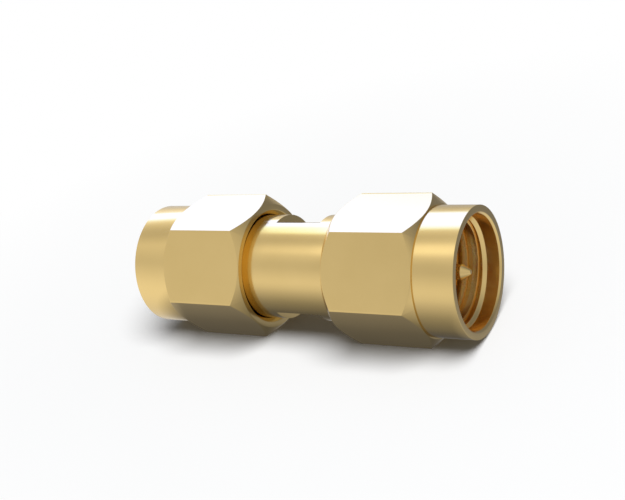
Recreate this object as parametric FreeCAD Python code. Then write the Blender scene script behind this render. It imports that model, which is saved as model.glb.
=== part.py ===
import FreeCAD, Part
import math
import os

# Gold-plated coaxial adapter with a plug on each end: a turned body, two captive
# coupling nuts, a double-ended pin contact and its two insulators.
# Millimetres. X is the adapter's axis and the origin is its middle. The nuts lie
# on one hexagon flat, which faces -Z. Axial places are distances from the middle,
# and every end piece is made for the +X end and mirrored for the other.

# Mating interface, the same on both ends
reference_plane = 8.50  # front face of the outer conductor
nut_reach = 2.74  # the nut's mouth stands this far in front of the reference plane
pin_reach = 2.20  # the contact's tip stands this far in front of it
pin_diameter = 0.92
dielectric_diameter = 4.10
spigot_wall = 0.245  # the outer conductor's thickness round the dielectric
thread_major_diameter = 6.35

# Coupling nut, outside
nut_across_flats = 8.00
hex_length = 5.845  # from the rear face to the root of the sleeve
sleeve_length = 2.485
sleeve_diameter = 7.794
sleeve_root_shoulder = 0.10  # radial width of the flat ring round the sleeve's root
front_chamfer_angle = 49.0  # between the cone and the axis
rear_chamfer_angle = 46.0
rear_face_diameter = 7.93

# Coupling nut, inside
mouth_chamfer = 0.11
mouth_bore_diameter = 6.76
mouth_bore_depth = 0.915
thread_length = 3.10
thread_runout = 0.22  # axial length of the cone behind the thread
rear_cone_diameter = 7.24
rear_cone_length = 0.265
nut_running_clearance = 0.05  # radial, nut over barrel

# Body
barrel_diameter = 6.61
wrench_flat_width = 5.60  # across the two flats
wrench_flat_length = 3.14
wrench_flat_turn = 30.0  # degrees from +Z, turned about the axis towards +Y
gasket_seat_setback = 2.50  # shoulder behind the reference plane
barrel_end_chamfer = 0.20
gasket_root_step = 0.165  # the spigot is this much larger in radius under the gasket
spigot_chamfer = 0.05
waist_bore_step = 0.25  # the bore is this much smaller in radius in the middle, which stops the insulators
waist_length = 6.80

# Split retaining ring, half in the body's groove and half in the nut's
ring_distance = 4.60  # from the adapter's middle to the ring's middle
ring_width = 0.50
ring_thickness = 0.50
ring_bite = 0.185  # how far the ring reaches into the nut beyond its bore
ring_gap = 1.40
ring_side_clearance = 0.02
ring_rim_clearance = 0.03
nut_end_play = 0.10  # the nut and its ring slide this far each way

# Gasket
gasket_thickness = 0.65
gasket_squeeze = 0.10  # the gasket stands this far in front of its root, for the jack to press on
gasket_width = 0.56  # radial

# Insulators and contact
dielectric_setback = 0.05
contact_core_diameter = 1.27
contact_waist_diameter = 1.56
pin_cone_length = 0.53
pin_tip_diameter = 0.26

AXIS = FreeCAD.Vector(1, 0, 0)
ORIGIN = FreeCAD.Vector(0, 0, 0)
MIDDLE_PLANE = FreeCAD.Vector(1, 0, 0)

# Radii that several pieces share
barrel_r = barrel_diameter / 2
nut_bore_r = barrel_r + nut_running_clearance
ring_outer_r = nut_bore_r + ring_bite
ring_inner_r = ring_outer_r - ring_thickness
nut_groove_r = ring_outer_r + ring_rim_clearance
body_groove_r = barrel_r - ring_thickness + nut_running_clearance - ring_rim_clearance
thread_r = thread_major_diameter / 2
dielectric_r = dielectric_diameter / 2
spigot_r = dielectric_r + spigot_wall
gasket_root_r = spigot_r + gasket_root_step
core_r = contact_core_diameter / 2

# Axial places that several pieces share
mouth = reference_plane + nut_reach
hex_front = mouth - sleeve_length
nut_rear = hex_front - hex_length
gasket_seat = reference_plane - gasket_seat_setback
gasket_root_end = gasket_seat + gasket_thickness - gasket_squeeze
insulator_stop = waist_length / 2
insulator_front = reference_plane - dielectric_setback


def revolved(profile):
    """The solid swept by a closed (x, radius) outline about the axis."""
    points = [FreeCAD.Vector(x, r, 0) for x, r in profile]
    outline = Part.makePolygon(points + points[:1])
    return Part.Face(outline).revolve(ORIGIN, AXIS, 360)


def tube(x0, x1, inner_r, outer_r):
    """A plain ring between two places on the axis."""
    return revolved([(x0, inner_r), (x1, inner_r), (x1, outer_r), (x0, outer_r)])


def rod(x0, x1, r):
    """A plain cylinder between two places on the axis."""
    return Part.makeCylinder(r, x1 - x0, FreeCAD.Vector(x0, 0, 0), AXIS)


def mirrored(shape):
    """The same piece for the -X end."""
    return shape.mirror(ORIGIN, MIDDLE_PLANE)


def hexagon_bar(x0, x1):
    """A hexagonal bar with a flat facing -Z."""
    corner_r = nut_across_flats / 2 / math.cos(math.radians(30))
    turns = [math.radians(60 * i) for i in range(6)]
    corners = [FreeCAD.Vector(x0, corner_r * math.cos(t), corner_r * math.sin(t)) for t in turns]
    outline = Part.makePolygon(corners + corners[:1])
    return Part.Face(outline).extrude(AXIS * (x1 - x0))


def chamfered_hexagon():
    """The nut's wrenching part: a hexagonal bar turned down to a cone at each end."""
    wide_r = nut_across_flats
    front_r = sleeve_diameter / 2 + sleeve_root_shoulder
    rear_r = rear_face_diameter / 2
    front_slope = math.tan(math.radians(front_chamfer_angle))
    rear_slope = math.tan(math.radians(rear_chamfer_angle))
    rear_cone_end = nut_rear + (wide_r - rear_r) / rear_slope
    front_cone_start = hex_front - (wide_r - front_r) / front_slope
    rear_turning = revolved(
        [(nut_rear, 0), (hex_front, 0), (hex_front, wide_r), (rear_cone_end, wide_r), (nut_rear, rear_r)]
    )
    front_turning = revolved(
        [(nut_rear, 0), (hex_front, 0), (hex_front, front_r), (front_cone_start, wide_r), (nut_rear, wide_r)]
    )
    return hexagon_bar(nut_rear, hex_front).common(rear_turning).common(front_turning)


def nut_bore():
    """Everything bored out of the nut: mouth, thread bore, relief, ring groove and rear cone."""
    mouth_r = mouth_bore_diameter / 2
    step = mouth - mouth_bore_depth
    thread_front = step - (mouth_r - thread_r)
    thread_rear = thread_front - thread_length
    relief_front = thread_rear - thread_runout
    cavity = revolved(
        [
            (nut_rear, 0),
            (mouth, 0),
            (mouth, mouth_r + mouth_chamfer),
            (mouth - mouth_chamfer, mouth_r),
            (step, mouth_r),
            (thread_front, thread_r),
            (thread_rear, thread_r),
            (relief_front, nut_bore_r),
            (nut_rear + rear_cone_length, nut_bore_r),
            (nut_rear, rear_cone_diameter / 2),
        ]
    )
    half_width = ring_width / 2 + ring_side_clearance
    groove = rod(ring_distance - half_width, ring_distance + half_width, nut_groove_r)
    return cavity.fuse(groove)


def coupling_nut():
    sleeve = rod(nut_rear, mouth, sleeve_diameter / 2)
    return chamfered_hexagon().fuse(sleeve).removeSplitter().cut(nut_bore())


def retaining_ring():
    """A split ring of square section; the split faces +Z."""
    half_width = ring_width / 2
    ring = tube(ring_distance - half_width, ring_distance + half_width, ring_inner_r, ring_outer_r)
    split = Part.makeBox(
        ring_width * 2,
        ring_gap,
        ring_outer_r,
        FreeCAD.Vector(ring_distance - ring_width, -ring_gap / 2, ring_inner_r / 2),
    )
    return ring.cut(split)


def gasket():
    """The flat sealing washer round the root of the spigot."""
    outer_r = gasket_root_r + gasket_width
    return tube(gasket_seat, gasket_seat + gasket_thickness, gasket_root_r, outer_r)


def insulator():
    """The dielectric bead: a rod with a hole for the contact."""
    return tube(insulator_stop, insulator_front, core_r, dielectric_r)


def body_end():
    """The turned outside of the body's +X half."""
    return revolved(
        [
            (0, 0),
            (0, barrel_r),
            (gasket_seat - barrel_end_chamfer, barrel_r),
            (gasket_seat, barrel_r - barrel_end_chamfer),
            (gasket_seat, gasket_root_r),
            (gasket_root_end, gasket_root_r),
            (gasket_root_end, spigot_r),
            (reference_plane - spigot_chamfer, spigot_r),
            (reference_plane, spigot_r - spigot_chamfer),
            (reference_plane, 0),
        ]
    )


def ring_groove():
    """The groove round the barrel, wide enough for the ring and the nut's end play."""
    half_width = ring_width / 2 + ring_side_clearance + nut_end_play
    return tube(ring_distance - half_width, ring_distance + half_width, body_groove_r, barrel_diameter)


def body_bore():
    """The through bore, stepped down in the middle."""
    ends = [rod(insulator_stop, reference_plane, dielectric_r)]
    ends.append(mirrored(ends[0]))
    waist = rod(-insulator_stop, insulator_stop, dielectric_r - waist_bore_step)
    return waist.multiFuse(ends)


def wrench_flats():
    """The two blocks milled away to leave opposite flats in the middle of the barrel."""
    block = Part.makeBox(
        wrench_flat_length,
        barrel_diameter * 2,
        barrel_diameter,
        FreeCAD.Vector(-wrench_flat_length / 2, -barrel_diameter, wrench_flat_width / 2),
    )
    opposite = block.copy()
    opposite.rotate(ORIGIN, AXIS, 180)
    pair = Part.makeCompound([block, opposite])
    pair.rotate(ORIGIN, AXIS, -wrench_flat_turn)
    return pair


def adapter_body():
    half = body_end().cut(ring_groove())
    whole = half.fuse(mirrored(half)).removeSplitter()
    return whole.cut(body_bore()).cut(wrench_flats())


def centre_contact():
    """One turned pin, thick in the middle, with a pointed end through each insulator."""
    tip = reference_plane + pin_reach
    pin_r = pin_diameter / 2
    half = revolved(
        [
            (0, 0),
            (0, contact_waist_diameter / 2),
            (insulator_stop, contact_waist_diameter / 2),
            (insulator_stop, core_r),
            (insulator_front, core_r),
            (insulator_front, pin_r),
            (tip - pin_cone_length, pin_r),
            (tip, pin_tip_diameter / 2),
            (tip, 0),
        ]
    )
    return half.fuse(mirrored(half)).removeSplitter()


def all_pieces():
    pieces = {"adapter_body": adapter_body(), "centre_contact": centre_contact()}
    for name, make in (
        ("coupling_nut", coupling_nut),
        ("retaining_ring", retaining_ring),
        ("gasket", gasket),
        ("insulator", insulator),
    ):
        pieces[name + "_right"] = make()
        pieces[name + "_left"] = mirrored(pieces[name + "_right"])
    return pieces


os.makedirs("parts", exist_ok=True)
for node, shape in all_pieces().items():
    shape.exportStep("parts/" + node + ".step")
    box = shape.BoundBox
    print(node, shape.isValid(), len(shape.Solids), round(shape.Volume, 3), box)
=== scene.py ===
import bmesh
import bpy
import math
from mathutils import Matrix


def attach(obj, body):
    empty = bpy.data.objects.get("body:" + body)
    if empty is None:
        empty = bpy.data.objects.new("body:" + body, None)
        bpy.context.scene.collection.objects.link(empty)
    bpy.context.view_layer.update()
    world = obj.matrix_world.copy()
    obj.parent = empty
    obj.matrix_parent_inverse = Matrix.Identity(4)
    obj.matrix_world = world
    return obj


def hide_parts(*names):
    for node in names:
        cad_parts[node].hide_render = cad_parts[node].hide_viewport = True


# A gold-plated coaxial adapter with a captive coupling nut on each end, in the CAD's frame:
# X is the adapter's axis, and it lies with a flat of each hexagon on the floor.

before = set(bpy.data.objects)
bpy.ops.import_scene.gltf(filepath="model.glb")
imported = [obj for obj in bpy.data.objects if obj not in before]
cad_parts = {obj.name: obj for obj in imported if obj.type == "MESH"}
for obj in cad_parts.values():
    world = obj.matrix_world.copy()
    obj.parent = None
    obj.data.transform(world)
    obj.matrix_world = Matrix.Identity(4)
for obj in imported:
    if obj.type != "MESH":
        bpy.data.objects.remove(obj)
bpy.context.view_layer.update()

# Sizes in millimetres, the same as the CAD's. Axial places are distances from the adapter's
# middle, and each end's pieces are made for the +X end.
MM = 0.001

# Coupling nut, outside
MOUTH = 11.24
HEX_FRONT = 8.755
NUT_REAR = 2.91
FLAT_R = 4.00
SLEEVE_R = 3.897
SHOULDER = 0.10
REAR_FACE_R = 3.965
FRONT_CONE_ANGLE = 49  # degrees between the cone and the axis
REAR_CONE_ANGLE = 46

# Coupling nut, inside
MOUTH_CHAMFER = 0.11
MOUTH_BORE_R = 3.38
MOUTH_STEP = 10.325
THREAD_R = 3.175
THREAD_FRONT = 10.12
THREAD_REAR = 7.02
RELIEF_FRONT = 6.80
NUT_BORE_R = 3.355
NUT_GROOVE_R = 3.57
GROOVE_FRONT = 4.87
GROOVE_REAR = 4.33
RECESS_R = 3.62
RECESS_END = 3.175

# Body
BARREL_R = 3.305
BARREL_CHAMFER = 0.2
BODY_GROOVE_R = 2.825
END_PLAY = 0.10
FLAT_HALF_WIDTH = 2.80
FLAT_HALF_LENGTH = 1.57
FLAT_TURN = 30.0  # degrees from +Z towards +Y
GASKET_SEAT = 6.00
GASKET_ROOT_END = 6.55
GASKET_ROOT_R = 2.46
REFERENCE_PLANE = 8.50
SPIGOT_R = 2.295
SPIGOT_CHAMFER = 0.05
DIELECTRIC_R = 2.05
WAIST_BORE_R = 1.80

# Gasket, insulator and contact
GASKET_FRONT = 6.65
GASKET_R = 3.02
INSULATOR_STOP = 3.40
INSULATOR_FRONT = 8.45
CORE_R = 0.635
CONTACT_WAIST_R = 0.78
PIN_R = 0.46
PIN_CONE = 10.17
PIN_TIP = 10.70
PIN_TIP_R = 0.13
NEAREST_AXIS_R = 0.0005  # the contact's outline ends this near the axis

# Thread ridge, which only this model has
THREAD_PITCH = 0.7056
THREAD_PHASE = 0.95  # radians
CREST_R = 3.03
CREST_HALF_WIDTH = 0.18
FLANK_ANGLE = 8.0  # degrees between a flank and the radius
RIDGE_SINK = 0.02  # the ridge's foot lies this deep in the bore's wall
RIDGE_REAR_GAP = 0.26  # between the ends of the thread's bore and of the ridge
RIDGE_FRONT_GAP = 0.02
RIDGE_FADE_STEPS = 20  # each end of the ridge rises out of the wall in this many steps
STEPS_PER_TURN = 112

# How far from a corner its rounding starts, and the share of a side that it may take
EDGE = 0.02
SHOULDER_EDGE = 0.01
WRENCH_FLAT_EDGE = 0.015
CREST_EDGE = 0.025
INSULATOR_EDGE = 0.04
GASKET_EDGE = 0.06
SHARP = 0
MOST_OF_SIDE = 0.45
HEX_CORNER_R = 0.03  # radius of the hexagon's rounded corners

# How finely the forms are divided
EDGE_STEPS = 4
HEX_CORNER_STEPS = 3
HEX_FLAT_STEPS = 40
ROUND_STEPS = 240
CONTACT_STEPS = 96
CLEAR_OF_EDGE = 0.4  # degrees that the barrel's even steps keep off its flats' edges

# In metres: points this near are one, and sides this short are dropped
DOUBLED_POINTS = 2e-7
SHORTEST_SIDE = 1e-7

# Faces that meet at more degrees than this have a sharp edge between them
SHARP_ANGLE = 30

# Smaller than any size here, so that nothing is divided by zero
TINY = 1e-9

# From the middle of a hexagon's flat to its corner, as an angle about the axis
HALF_FLAT = math.pi / 6


# Meshes


def along_side(corner, other, reach):
    """The point on the side from a corner to another at which the corner's rounding starts."""
    x, r = corner
    away = math.hypot(other[0] - x, other[1] - r)
    share = min(reach, MOST_OF_SIDE * away) / away if away > TINY else 0
    return x + (other[0] - x) * share, r + (other[1] - r) * share


def curve_point(start, corner, end, s):
    """The point at s, from 0 to 1, on a curve that the corner pulls towards itself."""
    return tuple(
        (1 - s) ** 2 * a + 2 * s * (1 - s) * p + s * s * b
        for a, p, b in zip(start, corner, end)
    )


def rounded(corners, reach=EDGE):
    """A closed outline with short curves for corners. A corner may give a reach of its own."""
    outline = []
    for i, (x, r, *own_reach) in enumerate(corners):
        corner_reach = own_reach[0] if own_reach else reach
        if corner_reach == SHARP:
            outline.append((x, r))
            continue
        start = along_side((x, r), corners[i - 1], corner_reach)
        end = along_side((x, r), corners[(i + 1) % len(corners)], corner_reach)
        outline += [curve_point(start, (x, r), end, k / EDGE_STEPS) for k in range(EDGE_STEPS + 1)]
    return outline


def point_at(x, r, angle):
    """A place in metres, from millimetres and an angle about the axis."""
    return x * MM, r * math.cos(angle) * MM, r * math.sin(angle) * MM


def ring_faces(rings, count, closed=False):
    """Faces between neighbouring rings of points, and from the last to the first if closed."""
    faces = []
    for i in range(rings if closed else rings - 1):
        here = i * count
        there = (i + 1) % rings * count
        for k in range(count):
            m = (k + 1) % count
            faces.append((here + k, here + m, there + m, there + k))
    return faces


def tidy_mesh(mesh):
    """Joins doubled points, turns all faces outwards and marks the sharp edges."""
    work = bmesh.new()
    work.from_mesh(mesh)
    bmesh.ops.remove_doubles(work, verts=work.verts, dist=DOUBLED_POINTS)
    bmesh.ops.dissolve_degenerate(work, edges=work.edges, dist=SHORTEST_SIDE)
    bmesh.ops.recalc_face_normals(work, faces=work.faces)
    work.to_mesh(mesh)
    work.free()
    mesh.shade_smooth()
    mesh.set_sharp_from_angle(angle=math.radians(SHARP_ANGLE))


def mesh_object(name, points, faces):
    """An object of these faces, shaded smooth but for its sharp edges."""
    mesh = bpy.data.meshes.new(name)
    mesh.from_pydata(points, [], faces)
    tidy_mesh(mesh)
    obj = bpy.data.objects.new(name, mesh)
    bpy.context.collection.objects.link(obj)
    weighted = obj.modifiers.new("face_normals", "WEIGHTED_NORMAL")
    weighted.keep_sharp = True
    weighted.weight = 100
    return obj


def turned(name, outline_at, angles):
    """A closed mesh whose (x, r) outline may change with the angle about the axis."""
    outlines = [outline_at(a) for a in angles]
    points = [point_at(x, r, a) for a, outline in zip(angles, outlines) for x, r in outline]
    return mesh_object(name, points, ring_faces(len(angles), len(outlines[0]), closed=True))


def mirror_x(obj):
    """Turns a piece made for the +X end into the one for the -X end."""
    obj.data.transform(Matrix.Diagonal((-1, 1, 1, 1)))
    obj.data.flip_normals()


def round_angles(count):
    return [2 * math.pi * i / count for i in range(count)]


def hex_corner_centre():
    """Distance from the axis to the middle of a hexagon corner's rounding."""
    return (FLAT_R - HEX_CORNER_R) / math.cos(HALF_FLAT)


def hex_corner_half():
    """Half of a rounded corner's width, as an angle about the axis."""
    return math.atan2(HEX_CORNER_R / 2, hex_corner_centre() + HEX_CORNER_R * math.cos(HALF_FLAT))


def hex_angles():
    """Angles round the hexagon, closer together over its corners."""
    half = math.degrees(hex_corner_half())
    corner = [half * k / HEX_CORNER_STEPS for k in range(-HEX_CORNER_STEPS, HEX_CORNER_STEPS + 1)]
    flat = [half + (60 - 2 * half) * k / HEX_FLAT_STEPS for k in range(1, HEX_FLAT_STEPS)]
    return [math.radians(60 * i + a) for i in range(6) for a in corner + flat]


def hex_radius(angle):
    """Distance from the axis to the hexagon, whose corners are slightly rounded."""
    off = (angle + HALF_FLAT) % (2 * HALF_FLAT) - HALF_FLAT
    centre = hex_corner_centre()
    if abs(off) < hex_corner_half():
        return centre * math.cos(off) + math.sqrt(HEX_CORNER_R**2 - (centre * math.sin(off)) ** 2)
    return FLAT_R / math.cos(HALF_FLAT - abs(off))


def nut_outline(angle):
    """The nut's outline: a hexagon with a cone at each end, the sleeve and the stepped bore."""
    wide = hex_radius(angle)
    shoulder_r = SLEEVE_R + SHOULDER
    rear_cone = (wide - REAR_FACE_R) / math.tan(math.radians(REAR_CONE_ANGLE))
    front_cone = (wide - shoulder_r) / math.tan(math.radians(FRONT_CONE_ANGLE))
    return rounded(
        [
            (NUT_REAR, RECESS_R),
            (NUT_REAR, REAR_FACE_R),
            (NUT_REAR + rear_cone, wide),
            (HEX_FRONT - front_cone, wide),
            (HEX_FRONT, shoulder_r, SHOULDER_EDGE),
            (HEX_FRONT, SLEEVE_R, SHARP),
            (MOUTH, SLEEVE_R),
            (MOUTH, MOUTH_BORE_R + MOUTH_CHAMFER),
            (MOUTH - MOUTH_CHAMFER, MOUTH_BORE_R),
            (MOUTH_STEP, MOUTH_BORE_R),
            (THREAD_FRONT, THREAD_R),
            (THREAD_REAR, THREAD_R),
            (RELIEF_FRONT, NUT_BORE_R),
            (GROOVE_FRONT, NUT_BORE_R),
            (GROOVE_FRONT, NUT_GROOVE_R),
            (GROOVE_REAR, NUT_GROOVE_R),
            (GROOVE_REAR, NUT_BORE_R),
            (RECESS_END, NUT_BORE_R),
        ]
    )


def ridge_section(base_r):
    """The thread ridge's outline: a flat crest with rounded edges between two steep flanks."""
    half_base = CREST_HALF_WIDTH + (base_r - CREST_R) * math.tan(math.radians(FLANK_ANGLE))
    corners = [(CREST_HALF_WIDTH, CREST_R, CREST_EDGE), (half_base, base_r, SHARP)]
    return rounded([(-x, r, reach) for x, r, reach in reversed(corners)] + corners)


def thread_ridge(name, sign):
    """The nut's internal right-hand thread: a helical ridge, cut off by the cone in front of it."""
    base_r = THREAD_R + RIDGE_SINK
    section = ridge_section(base_r)
    first = THREAD_REAR + RIDGE_REAR_GAP
    last = THREAD_FRONT - RIDGE_FRONT_GAP
    steps = int((last - first) / THREAD_PITCH * STEPS_PER_TURN)
    points = []
    for i in range(steps + 1):
        along = first + i * THREAD_PITCH / STEPS_PER_TURN
        turn = 2 * math.pi * along * sign / THREAD_PITCH + THREAD_PHASE
        height = min(1.0, i / RIDGE_FADE_STEPS, (steps - i) / RIDGE_FADE_STEPS)
        for offset, full_r in section:
            r = base_r - (base_r - full_r) * height
            x = sign * min(along + offset, THREAD_FRONT + r - THREAD_R)
            points.append(point_at(x, r, turn))
    return mesh_object(name, points, ring_faces(steps + 1, len(section)))


def both_halves(half):
    """The outline of a piece that is the same at both ends, from its +X half's corners."""
    return rounded(half + [(-x, *rest) for x, *rest in reversed(half)])


def body_angles():
    """Even angles round the barrel, with the edges of its two flats among them."""
    edge = math.degrees(math.acos(FLAT_HALF_WIDTH / BARREL_R))
    exact = [90 - FLAT_TURN + s * edge + turn for s in (-1, 1) for turn in (0, 180)]
    even = [360 * i / ROUND_STEPS for i in range(ROUND_STEPS)]
    kept = [a for a in even if all(abs((a - e + 180) % 360 - 180) > CLEAR_OF_EDGE for e in exact)]
    return [math.radians(a) for a in sorted(kept + [e % 360 for e in exact])]


def body_outline(angle):
    """The body's outline: barrel with two wrench flats, ring grooves, spigots and bore."""
    off = math.cos(angle - math.radians(90 - FLAT_TURN))
    flat_r = min(BARREL_R, FLAT_HALF_WIDTH / max(abs(off), TINY))
    return both_halves(
        [
            (FLAT_HALF_LENGTH, flat_r, WRENCH_FLAT_EDGE),
            (FLAT_HALF_LENGTH, BARREL_R, WRENCH_FLAT_EDGE),
            (GROOVE_REAR - END_PLAY, BARREL_R),
            (GROOVE_REAR - END_PLAY, BODY_GROOVE_R),
            (GROOVE_FRONT + END_PLAY, BODY_GROOVE_R),
            (GROOVE_FRONT + END_PLAY, BARREL_R),
            (GASKET_SEAT - BARREL_CHAMFER, BARREL_R),
            (GASKET_SEAT, BARREL_R - BARREL_CHAMFER),
            (GASKET_SEAT, GASKET_ROOT_R),
            (GASKET_ROOT_END, GASKET_ROOT_R),
            (GASKET_ROOT_END, SPIGOT_R),
            (REFERENCE_PLANE - SPIGOT_CHAMFER, SPIGOT_R),
            (REFERENCE_PLANE, SPIGOT_R - SPIGOT_CHAMFER),
            (REFERENCE_PLANE, DIELECTRIC_R),
            (INSULATOR_STOP, DIELECTRIC_R),
            (INSULATOR_STOP, WAIST_BORE_R),
        ]
    )


def contact_outline(angle):
    """The contact's outline, the same at any angle."""
    return both_halves(
        [
            (INSULATOR_STOP, CONTACT_WAIST_R),
            (INSULATOR_STOP, CORE_R),
            (INSULATOR_FRONT, CORE_R),
            (INSULATOR_FRONT, PIN_R),
            (PIN_CONE, PIN_R),
            (PIN_TIP, PIN_TIP_R),
            (PIN_TIP, NEAREST_AXIS_R),
        ]
    )


def plain_ring(name, x0, x1, inner_r, outer_r, edge):
    corners = [(x0, inner_r), (x0, outer_r), (x1, outer_r), (x1, inner_r)]
    return turned(name, lambda angle: rounded(corners, edge), round_angles(ROUND_STEPS))


# Materials

# The range that a noise mostly keeps to
NOISE_LOW = 0.3
NOISE_HIGH = 0.7

# Plated metal: the scales of its noises, how far they move the roughness either way, the
# relief's depth in metres, and how much of it is grain and how much turning rings
PATCH_SCALE = 420.0
GRAIN_SCALE = 26000.0
TURNING_SCALE = 9000.0
PATCH_ROUGHNESS = 0.015
GRAIN_ROUGHNESS = 0.012
METAL_RELIEF = 2e-6
GRAIN_SHARE = 0.7
TURNING_SHARE = 0.3

# Moulded polymer: how many times finer its grain is than its mottling, how far the mottling
# moves the roughness either way, and its relief's depth in metres and strength
POLYMER_GRAIN = 30
POLYMER_ROUGHNESS = 0.05
POLYMER_RELIEF = 4e-6
POLYMER_BUMP = 0.3
MILKY = {"Subsurface Weight": 0.2, "Subsurface Scale": 0.0004}


class Nodes:
    """Short calls for building a node tree."""

    def __init__(self, tree):
        self.tree = tree
        tree.nodes.clear()

    def add(self, kind, inputs=(), **settings):
        """A node whose inputs are linked to sockets or set to values."""
        node = self.tree.nodes.new(kind)
        for key, value in settings.items():
            setattr(node, key, value)
        for key, value in dict(inputs).items():
            if isinstance(value, bpy.types.NodeSocket):
                self.tree.links.new(value, node.inputs[key])
            else:
                node.inputs[key].default_value = value
        return node

    def first(self, kind, inputs=(), **settings):
        """A new node's first output."""
        return self.add(kind, inputs, **settings).outputs[0]

    def place(self):
        return self.add("ShaderNodeTexCoord").outputs["Object"]

    def parts(self, vector):
        return self.add("ShaderNodeSeparateXYZ", {0: vector}).outputs

    def maths(self, operation, *values):
        return self.first("ShaderNodeMath", enumerate(values), operation=operation)

    def span(self, value, start, end, to_start, to_end):
        """A value between start and end, carried over to another range."""
        inputs = {"Value": value, "From Min": start, "From Max": end}
        inputs.update({"To Min": to_start, "To Max": to_end})
        return self.first("ShaderNodeMapRange", inputs)

    def ramp(self, factor, stops):
        """Colours that change with a factor, from stops of (place, colour)."""
        node = self.add("ShaderNodeValToRGB", {0: factor})
        elements = node.color_ramp.elements
        while len(elements) < len(stops):
            elements.new(0.5)
        for element, (place, colour) in zip(elements, stops):
            element.position = place
            element.color = (*colour, 1)
        return node.outputs[0]

    def noise(self, vector, scale, detail, roughness):
        inputs = {"Vector": vector, "Scale": scale, "Detail": detail, "Roughness": roughness}
        return self.first("ShaderNodeTexNoise", inputs)

    def patches(self, vector, scale):
        return self.noise(vector, scale, detail=3.0, roughness=0.5)

    def grain(self, vector, scale):
        return self.noise(vector, scale, detail=2.0, roughness=0.6)

    def two_tone(self, noise, low_colour, high_colour):
        return self.ramp(noise, [(NOISE_LOW, low_colour), (NOISE_HIGH, high_colour)])

    def follow(self, noise, low, high):
        return self.span(noise, NOISE_LOW, NOISE_HIGH, low, high)

    def emission(self, colour, strength):
        return self.first("ShaderNodeEmission", {"Color": colour, "Strength": strength})

    def mix_shaders(self, factor, a, b):
        return self.first("ShaderNodeMixShader", {0: factor, 1: a, 2: b})

    def mix_colours(self, factor, a, b):
        return self.add("ShaderNodeMix", {0: factor, 6: a, 7: b}, data_type="RGBA").outputs[2]

    def output(self, shader):
        self.add("ShaderNodeOutputMaterial", {0: shader})


def new_material(name):
    material = bpy.data.materials.new(name)
    material.use_nodes = True
    return material, Nodes(material.node_tree)


def output_surface(n, bump, sockets):
    """Ends a node tree with a surface shader, its bump given as (strength, distance, height)."""
    strength, distance, height = bump
    normal = n.first("ShaderNodeBump", {"Strength": strength, "Distance": distance, "Height": height})
    n.output(n.first("ShaderNodeBsdfPrincipled", {**sockets, "Normal": normal}))


def turned_metal(name, colour, deep, roughness, grain):
    """Plated metal with a fine satin grain and faint turning rings about the axis."""
    material, n = new_material(name)
    place = n.place()
    x, y, z = n.parts(place)
    radius = n.maths("SQRT", n.maths("ADD", n.maths("MULTIPLY", y, y), n.maths("MULTIPLY", z, z)))
    rings = n.first("ShaderNodeCombineXYZ", {0: x, 1: radius, 2: 0.0})
    patches = n.patches(place, PATCH_SCALE)
    fine = n.grain(place, GRAIN_SCALE)
    turning = n.grain(rings, TURNING_SCALE)
    rough = n.maths(
        "ADD",
        n.follow(patches, roughness - PATCH_ROUGHNESS, roughness + PATCH_ROUGHNESS),
        n.follow(fine, -GRAIN_ROUGHNESS, GRAIN_ROUGHNESS),
    )
    relief = n.maths(
        "ADD",
        n.maths("MULTIPLY", fine, GRAIN_SHARE),
        n.maths("MULTIPLY", turning, TURNING_SHARE),
    )
    base = n.two_tone(patches, deep, colour)
    sockets = {"Base Color": base, "Metallic": 1.0, "Roughness": rough}
    output_surface(n, (grain, METAL_RELIEF, relief), sockets)
    return material


def moulded(name, colour, pale, roughness, scale, **sockets):
    """A plain polymer with a little mottling and a fine surface grain."""
    material, n = new_material(name)
    place = n.place()
    patches = n.patches(place, scale)
    fine = n.grain(place, scale * POLYMER_GRAIN)
    low, high = roughness - POLYMER_ROUGHNESS, roughness + POLYMER_ROUGHNESS
    sockets["Base Color"] = n.two_tone(patches, colour, pale)
    sockets["Roughness"] = n.follow(patches, low, high)
    output_surface(n, (POLYMER_BUMP, POLYMER_RELIEF, fine), sockets)
    return material


# The nut's outside is plain gold. Inside it the golds are painted: in its bores a rougher gold of a
# slightly deeper colour, as painted shade; behind the thread's ridge and on the ridge itself a
# darker gold, as painted shade; and in its rear recess a paler gold, as painted light.
gold = turned_metal("satin_gold", (0.93, 0.68, 0.285), (0.90, 0.655, 0.268), 0.17, 0.25)
# Rougher for the bore, and a little deeper in colour as painted shade inside the nut.
bored_gold_painted_shade = turned_metal("bored_gold_painted_shade", (0.93, 0.66, 0.27), (0.90, 0.635, 0.255), 0.23, 0.3)
# A darker gold as painted shade on the thread's ridge.
thread_gold_painted_shade = turned_metal("thread_gold_painted_shade", (0.79, 0.53, 0.20), (0.76, 0.505, 0.19), 0.28, 0.3)
# A darker gold as painted shade in the groove behind the thread's ridge.
groove_gold_painted_shade = turned_metal("groove_gold_painted_shade", (0.84, 0.48, 0.115), (0.81, 0.46, 0.11), 0.28, 0.3)
# A paler, smoother gold as painted light in the nut's rear recess.
recess_gold_painted_light = turned_metal("recess_gold_painted_light", (0.99, 0.78, 0.36), (0.97, 0.76, 0.345), 0.13, 0.3)
# A paler, rougher gold as painted light on the spigots deep inside the nuts.
spigot_gold_painted_light = turned_metal("spigot_gold_painted_light", (0.99, 0.74, 0.30), (0.97, 0.72, 0.29), 0.4, 0.3)
contact_gold = turned_metal("contact_gold", (0.93, 0.68, 0.285), (0.90, 0.655, 0.268), 0.15, 0.2)
bronze = turned_metal("spring_bronze", (0.62, 0.40, 0.22), (0.52, 0.32, 0.17), 0.3, 0.5)
dielectric = moulded("dielectric", (0.84, 0.83, 0.80), (0.90, 0.89, 0.87), 0.45, 500.0, **MILKY)
rubber = moulded("gasket_rubber", (0.42, 0.085, 0.035), (0.52, 0.12, 0.05), 0.6, 700.0)


# Pieces

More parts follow.
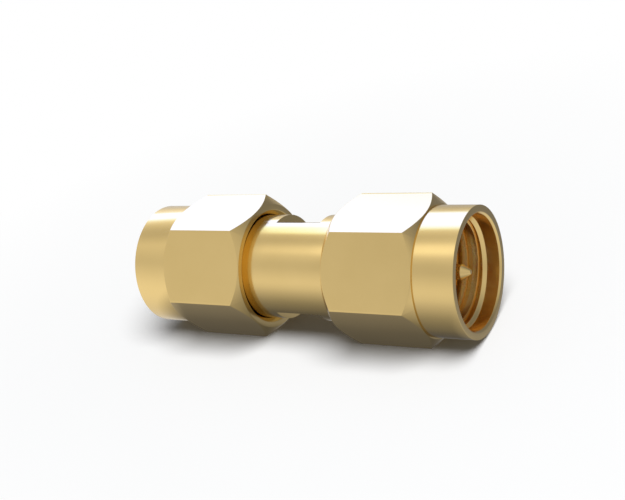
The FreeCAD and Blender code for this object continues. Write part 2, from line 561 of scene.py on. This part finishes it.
# The places of the nut's materials, and of the body's second one
OUTSIDE, BORE, THREAD_BORE, RECESS = range(4)
SPIGOT = 1

# Which of the nut's faces are inside it: how far its recess reaches from the middle, the
# largest radius of the thread's bore and of any bore, and the most that the normal of a
# bore's face may lean along the axis
RECESS_REACH = 3.3
THREAD_BORE_REACH = 3.3
BORE_REACH = 3.6
BORE_LEAN = 0.6


def dress(obj, material, slot, body, *nodes):
    """Gives a piece its material, its body and the CAD nodes that it stands for. The slot is not
    used.
    """
    obj.data.materials.append(material)
    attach(obj, body)
    if nodes:
        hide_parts(*nodes)


def nut_gold_place(face):
    """The place of the material for one of the nut's faces."""
    radius = math.hypot(face.center.y, face.center.z)
    if radius < RECESS_R * MM and abs(face.center.x) < RECESS_REACH * MM:
        return RECESS
    if radius < BORE_REACH * MM and abs(face.normal.x) < BORE_LEAN:
        return THREAD_BORE if radius < THREAD_BORE_REACH * MM else BORE
    return OUTSIDE


def paint_nut_inside(nut):
    """Paints the nut's inside: darker golds as painted shade, a paler gold as painted light."""
    for material in (bored_gold_painted_shade, groove_gold_painted_shade, recess_gold_painted_light):
        nut.data.materials.append(material)
    for face in nut.data.polygons:
        face.material_index = nut_gold_place(face)


def make_end(side, sign):
    """The pieces of one end. The thread's hand is the same at both ends, so it isn't mirrored."""
    nut = turned("nut_" + side, nut_outline, hex_angles())
    gasket_name = "gasket_" + side + "_detail"
    gasket = plain_ring(
        gasket_name, GASKET_SEAT, GASKET_FRONT, GASKET_ROOT_R, GASKET_R, GASKET_EDGE
    )
    insulator_name = "insulator_" + side + "_detail"
    insulator = plain_ring(
        insulator_name, INSULATOR_STOP, INSULATOR_FRONT, CORE_R, DIELECTRIC_R, INSULATOR_EDGE
    )
    if sign < 0:
        for piece in (nut, gasket, insulator):
            mirror_x(piece)
    dress(nut, gold, "gold_plate", "nut_" + side, "coupling_nut_" + side)
    paint_nut_inside(nut)
    dress(thread_ridge("thread_" + side, sign), thread_gold_painted_shade, "gold_plate", "nut_" + side)
    dress(gasket, rubber, "gasket_rubber", "adapter", "gasket_" + side)
    dress(insulator, dielectric, "dielectric", "adapter", "insulator_" + side)


def make_body():
    """The body, whose spigots in front of the gaskets' seats have a paler gold as painted light."""
    body = turned("body_detail", body_outline, body_angles())
    dress(body, gold, "gold_plate", "adapter", "adapter_body")
    body.data.materials.append(spigot_gold_painted_light)
    for face in body.data.polygons:
        if abs(face.center.x) > GASKET_SEAT * MM:
            face.material_index = SPIGOT


def make_contact():
    contact = turned("contact_detail", contact_outline, round_angles(CONTACT_STEPS))
    dress(contact, contact_gold, "contact_gold", "adapter", "centre_contact")


def finish_node(node, material):
    """Gives a carried-over CAD node its material."""
    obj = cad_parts[node]
    if obj.material_slots:
        obj.material_slots[0].material = material
    else:
        obj.data.materials.append(material)


make_end("right", 1)
make_end("left", -1)
make_body()
make_contact()
finish_node("retaining_ring_right", bronze)
finish_node("retaining_ring_left", bronze)


# Studio

WHITE = (1, 1, 1, 1)
PLAIN_LEVEL = 0.15  # how bright the surroundings are for matt surfaces

# The camera is rolled with the adapter, which lies on a flat here and stands on a corner in
# the photograph. Its place is in millimetres, its lens and sensor too, its clips in metres.
CAMERA_PLACE = (33.629, -46.244, 30.627)
CAMERA_RIGHT = (0.8546, 0.4497, -0.2596)
CAMERA_UP = (-0.0186, 0.5262, 0.8501)
CAMERA_BACK = (0.5189, -0.7217, 0.4581)
CAMERA_SENSOR = 36
CAMERA_LENS = 59.2433
CAMERA_CLIPS = (0.002, 20)

# The key light, which reflections don't show. Its place and size are in metres.
KEY_PLACE = (0.38, -0.25, 1.12)
KEY_SIZE = 0.90
KEY_ENERGY = 15.65

# The floor fades to white between two distances from the adapter, in millimetres
FLOOR_Z = -4.0
FLOOR_REACH = 3.0  # metres
FLOOR_GAP = 2e-5  # metres under the adapter
FLOOR_FADE = (16, 45)
FLOOR_PATCH_SCALE = 30.0
FLOOR_TONES = ((0.935, 0.94, 0.945), (0.945, 0.95, 0.955))

# The light tent and its shade are turned about the axis with the photograph's floor, which is
# under a corner of each hexagon
PHOTO_TURN = -30
PHOTO_FLOOR_Z = -FLAT_R / math.cos(HALF_FLAT)

# The shade is a dark card on that floor, seen only in reflections. Its depths are given as
# (distance from the axis, depth), the distance in units of SHADE_UNIT millimetres. It fades
# towards its two ends, between the places given in millimetres along the axis.
SHADE_REACH = 0.03  # metres
SHADE_COLOUR = (0.094, 0.098, 0.114, 1)
SHADE_UNIT = 20
SHADE_DEPTHS = (
    (0.0, 1.0), (0.05, 0.955), (0.08, 0.89), (0.12, 0.825), (0.16, 0.74), (0.2, 0.62),
    (0.26, 0.44), (0.33, 0.24), (0.42, 0.08), (0.52, 0.015), (0.7, 0.0),
)
SHADE_LEFT_FADE = (-12.2, -9.7)
SHADE_LEFT_DEPTH = 0.1
SHADE_RIGHT_FADE = (14.0, 10.0)

# The light tent's soft lights, as (degrees, level) round the adapter's axis. 0 is the front
# horizon, 90 overhead, 180 the back horizon and below 0 the bright floor. The overhead light
# is the strongest, and in the middle a low strip stands in front. The tent has one set of
# lights for its left end, one for its middle and one for its right end, whose back is dark.
TENT_LEFT = (
    (-180, 0.66), (-130, 0.78), (-70, 0.94), (-50, 0.92), (0, 0.64), (10, 0.64), (38, 0.75),
    (60, 0.57), (72, 0.58), (89, 0.78), (98, 1.1), (105, 4.0), (121, 4.0), (127, 1.1),
    (150, 0.68), (180, 0.66),
)
TENT_MIDDLE = (
    (-180, 0.56), (-120, 0.76), (-70, 0.95), (-50, 0.93), (0, 0.57), (12, 0.58), (25, 0.74),
    (35, 1.2), (44, 1.1), (53, 0.72), (63, 0.62), (77, 0.83), (85, 4.0), (120, 4.0),
    (125.5, 0.8), (140, 0.56), (160, 0.47), (180, 0.56),
)
TENT_RIGHT = (
    (-180, 0.2), (-170, 0.31), (-147, 0.67), (-110, 0.71), (-80, 0.67), (-45, 0.60),
    (-30, 0.57), (-13, 0.53), (0, 0.57), (35, 0.6), (60, 0.54), (90, 0.33), (110, 0.21),
    (130, 0.19), (180, 0.2),
)

# The tent's strongest level, the most of each colour that it gives, the sines of the leans
# along the axis between which one set of lights gives way to the next, and its shape
TENT_TOP = 4.0
TENT_CAP = (1.14, 1.54, 3.80)
MIDDLE_TO_LEFT = (-0.42, -0.60)
MIDDLE_TO_RIGHT = (-0.25, 0.10)
TENT_RADIUS = 0.8  # metres
TENT_STEPS = 96
TENT_ROWS = 48

# Dark parts of the tent are cooler: from this level down, over this range, by this much
COOL_LEVEL = 0.5
COOL_RANGE = 0.4
COOL_GREEN = 0.07
COOL_BLUE = 0.35


def stage_object(name, points, faces, material):
    mesh = bpy.data.meshes.new(name)
    mesh.from_pydata(points, [], faces)
    obj = bpy.data.objects.new(name, mesh)
    bpy.context.collection.objects.link(obj)
    mesh.materials.append(material)
    return obj


def level_square(name, reach, z, material):
    """A level square under the adapter."""
    low = z * MM - FLOOR_GAP
    signs = ((-1, -1), (1, -1), (1, 1), (-1, 1))
    corners = [(x * reach, y * reach, low) for x, y in signs]
    return stage_object(name, corners, [(0, 1, 2, 3)], material)


def only_in_reflections(obj):
    obj.visible_camera = False
    obj.visible_diffuse = False
    obj.visible_transmission = False
    obj.visible_volume_scatter = False
    obj.visible_shadow = False


def floor_material():
    """A pale matt floor that fades to white, but for glossy rays, which don't see it."""
    material, n = new_material("pale_floor")
    place = n.place()
    patches = n.noise(place, FLOOR_PATCH_SCALE, detail=2.0, roughness=0.5)
    tone = n.two_tone(patches, *FLOOR_TONES)
    matt = n.first("ShaderNodeBsdfDiffuse", {"Color": tone})
    away = n.add("ShaderNodeVectorMath", {0: place}, operation="LENGTH").outputs["Value"]
    path = n.add("ShaderNodeLightPath").outputs
    seen = n.maths("MAXIMUM", path["Is Camera Ray"], path["Is Transmission Ray"])
    start, end = FLOOR_FADE
    fade = n.maths("MULTIPLY", seen, n.span(away, start * MM, end * MM, 0.0, 1.0))
    n.output(n.mix_shaders(fade, matt, n.emission(WHITE, 1.0)))
    material.cycles.emission_sampling = "NONE"
    return material


def shade_material():
    """The shade on the tent's floor, clear where that floor is bright."""
    material, n = new_material("floor_shade")
    x, y = n.parts(n.place())[:2]
    off = n.maths("DIVIDE", n.maths("ABSOLUTE", y), SHADE_UNIT * MM)
    depth = n.ramp(off, [(place, (v, v, v)) for place, v in SHADE_DEPTHS])
    start, end = SHADE_LEFT_FADE
    depth = n.maths("MULTIPLY", depth, n.span(x, start * MM, end * MM, SHADE_LEFT_DEPTH, 1.0))
    start, end = SHADE_RIGHT_FADE
    depth = n.maths("MULTIPLY", depth, n.span(x, start * MM, end * MM, 0.0, 1.0))
    clear = n.first("ShaderNodeBsdfTransparent")
    n.output(n.mix_shaders(depth, clear, n.emission(SHADE_COLOUR, 1.0)))
    material.cycles.emission_sampling = "NONE"
    return material


def grey(level):
    """A neutral colour, a little cooler where it is dark."""
    cool = max(0.0, min(1.0, (COOL_LEVEL - level) / COOL_RANGE))
    return level, level * (1 + COOL_GREEN * cool), level * (1 + COOL_BLUE * cool)


def tent_lights(n, around, lights):
    """One set of the tent's lights, as a share of its strongest level."""
    stops = [
        (angle / 360 + 0.5, tuple(channel / TENT_TOP for channel in grey(level)))
        for angle, level in lights
    ]
    return n.ramp(around, stops)


def tent_colour(n):
    """The three sets of lights, each in its part of the tent, with the strongest capped."""
    place = n.place()
    y, z = n.parts(place)[1:]
    angle = n.maths("ARCTAN2", z, n.maths("MULTIPLY", y, -1.0))
    around = n.maths("ADD", n.maths("DIVIDE", angle, 2 * math.pi), 0.5)
    lean = n.parts(n.first("ShaderNodeVectorMath", {0: place}, operation="NORMALIZE"))[0]
    left, middle, right = (tent_lights(n, around, s) for s in (TENT_LEFT, TENT_MIDDLE, TENT_RIGHT))
    colour = n.mix_colours(n.span(lean, *MIDDLE_TO_LEFT, 0.0, 1.0), middle, left)
    colour = n.mix_colours(n.span(lean, *MIDDLE_TO_RIGHT, 0.0, 1.0), colour, right)
    cap = [channel / TENT_TOP for channel in TENT_CAP]
    return n.first("ShaderNodeVectorMath", {0: colour, 1: cap}, operation="MINIMUM")


def tent_material():
    """The tent's soft lights. A ray that has met a matt surface sees a plain level instead."""
    material, n = new_material("light_tent")
    lights = n.emission(tent_colour(n), TENT_TOP)
    plain = n.emission(WHITE, PLAIN_LEVEL)
    depth = n.add("ShaderNodeLightPath").outputs["Diffuse Depth"]
    n.output(n.mix_shaders(n.maths("GREATER_THAN", depth, 0.5), lights, plain))
    material.cycles.emission_sampling = "NONE"
    return material


def tent_sphere():
    """Points and faces of a sphere whose poles are on the adapter's axis."""
    heights = [math.pi * (k / TENT_ROWS - 0.5) for k in range(1, TENT_ROWS)]
    points = [
        (
            TENT_RADIUS * math.sin(height),
            TENT_RADIUS * math.cos(angle) * math.cos(height),
            TENT_RADIUS * math.sin(angle) * math.cos(height),
        )
        for height in heights
        for angle in round_angles(TENT_STEPS)
    ]
    faces = ring_faces(len(heights), TENT_STEPS)
    last = len(points) - TENT_STEPS
    low_pole = len(points)
    high_pole = low_pole + 1
    faces += [((i + 1) % TENT_STEPS, i, low_pole) for i in range(TENT_STEPS)]
    faces += [(last + i, last + (i + 1) % TENT_STEPS, high_pole) for i in range(TENT_STEPS)]
    return points + [(-TENT_RADIUS, 0, 0), (TENT_RADIUS, 0, 0)], faces


def make_stage():
    """The floor, and the shade and light tent that only reflections show."""
    floor = level_square("floor", FLOOR_REACH, FLOOR_Z, floor_material())
    floor.visible_glossy = False
    shade = level_square("floor_shade", SHADE_REACH, PHOTO_FLOOR_Z, shade_material())
    tent = stage_object("light_tent", *tent_sphere(), tent_material())
    for obj in (shade, tent):
        only_in_reflections(obj)
        obj.rotation_euler = (math.radians(PHOTO_TURN), 0, 0)


def make_key_light():
    light = bpy.data.lights.new("key", "AREA")
    light.shape = "DISK"
    light.size = KEY_SIZE
    light.energy = KEY_ENERGY
    obj = bpy.data.objects.new("key", light)
    bpy.context.collection.objects.link(obj)
    obj.location = KEY_PLACE
    obj.rotation_euler = (-obj.location).to_track_quat("-Z", "Y").to_euler()
    obj.visible_glossy = False
    obj.visible_camera = False


def make_world():
    """White for camera, glossy and transmission rays, and a plain level for matt surfaces."""
    world = bpy.data.worlds.new("studio")
    bpy.context.scene.world = world
    world.use_nodes = True
    n = Nodes(world.node_tree)
    path = n.add("ShaderNodeLightPath").outputs
    seen = n.maths("MAXIMUM", path["Is Camera Ray"], path["Is Glossy Ray"])
    seen = n.maths("MAXIMUM", seen, path["Is Transmission Ray"])
    strength = n.span(seen, 0.0, 1.0, PLAIN_LEVEL, 1.0)
    background = n.first("ShaderNodeBackground", {"Color": WHITE, "Strength": strength})
    n.add("ShaderNodeOutputWorld", {0: background})


def make_camera():
    data = bpy.data.cameras.new("camera")
    data.sensor_width = CAMERA_SENSOR
    data.lens = CAMERA_LENS
    data.clip_start, data.clip_end = CAMERA_CLIPS
    camera = bpy.data.objects.new("camera", data)
    bpy.context.collection.objects.link(camera)
    axes = Matrix((CAMERA_RIGHT, CAMERA_UP, CAMERA_BACK)).transposed().to_4x4()
    camera.matrix_world = Matrix.Translation([v * MM for v in CAMERA_PLACE]) @ axes
    bpy.context.scene.camera = camera


make_stage()
make_key_light()
make_world()
make_camera()
bpy.context.scene.view_settings.view_transform = "Standard"
